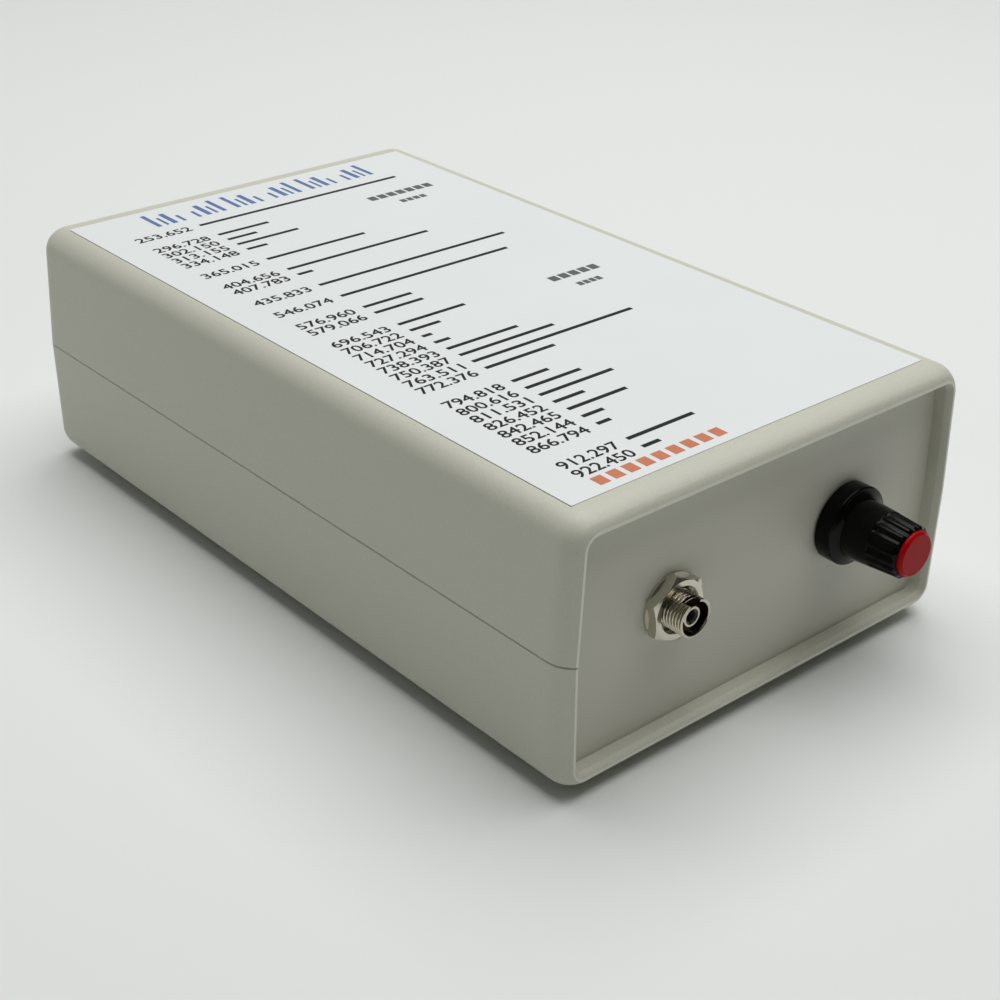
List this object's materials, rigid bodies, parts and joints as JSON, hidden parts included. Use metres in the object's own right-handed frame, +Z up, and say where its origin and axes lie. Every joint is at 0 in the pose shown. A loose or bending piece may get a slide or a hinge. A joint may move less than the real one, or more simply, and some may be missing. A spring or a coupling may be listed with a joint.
{
  "type": "mercury-argon calibration lamp",
  "caption": "Bench calibration light source: two-part moulded case with recessed end panels, a fibre adaptor and a turning knob on the front, and a printed line chart on the lid.",
  "frame": {"origin": "middle of the footprint of the whole part, knob included, on the surface that it stands on", "axes": "+Z up, +Y from the front panel with the knob towards the rear panel, +X to the right as seen from the front"},
  "size_m": [0.11, 0.2004, 0.0592],
  "materials": {
    "case_plastic": "fine moulded texture",
    "panel_plastic": "fine moulded texture",
    "foot_rubber": "matt",
    "zinc_screw": "zinc plated",
    "label_film": "printed film",
    "black_ink": "print",
    "blue_ink": "print",
    "orange_ink": "print",
    "nickel": "nickel plated",
    "sleeve_ceramic": "ground",
    "knob_plastic": "glossy",
    "cap_red": "semi-gloss",
    "tinned_steel": "tin plated",
    "phenolic": "pressed board",
    "block_aluminium": "milled",
    "lamp_glass": "clear",
    "cap_ceramic": "unglazed",
    "board_laminate": "lacquered",
    "nylon": "moulded",
    "ferrite": "pressed",
    "tape": "wound",
    "film_case": "dipped",
    "sleeve_film": "shrunk",
    "epoxy_black": "moulded",
    "sink_aluminium": "black anodised",
    "inlet_plastic": "moulded",
    "red_wire": "insulated",
    "white_wire": "insulated",
    "black_wire": "insulated"
  },
  "bodies": {
    "case": {"top_shell": "case_plastic", "bottom_shell": "case_plastic", "front_panel": "panel_plastic", "rear_panel": "panel_plastic", "rubber_feet": "foot_rubber", "case_screws": "zinc_screw", "label": "label_film", "printed_bars": "black_ink", "printed_heading": "blue_ink", "printed_footer": "orange_ink", "adaptor_body": "nickel", "adaptor_sleeve": "sleeve_ceramic", "adaptor_washer": "nickel", "adaptor_nut": "nickel", "control_bush": "nickel", "control_can": "tinned_steel", "control_terminals": "phenolic", "control_lugs": "tinned_steel", "control_washer": "nickel", "control_nut": "nickel", "lamp_block": "block_aluminium", "lamp_block_lid": "block_aluminium", "lamp_screws": "zinc_screw", "lamp_tube": "lamp_glass", "lamp_cap": "cap_ceramic", "driver_board": "board_laminate", "board_screws": "zinc_screw", "board_headers": "nylon", "transformer_core": "ferrite", "transformer_coil": "tape", "ballast_capacitor": "film_case", "smoothing_capacitors": "sleeve_film", "heat_sink": "sink_aluminium", "power_transistor": "epoxy_black", "inlet_body": "inlet_plastic", "inlet_pin": "nickel", "inlet_washer": "nickel", "inlet_nut": "nickel", "inlet_lugs": "tinned_steel", "lamp_leads": "white_wire", "control_leads": "black_wire", "inlet_leads": "red_wire"},
    "knob": {"knob": "knob_plastic", "knob_cap": "cap_red", "control_shaft": "nickel"}
  },
  "joints": [
    {"name": "brightness_turn", "type": "hinge", "parent": "case", "child": "knob", "pos_m": [0.0239, -0.08755, 0.0319], "axis": [0, 1, 0], "range_deg": [-150, 150]}
  ]
}
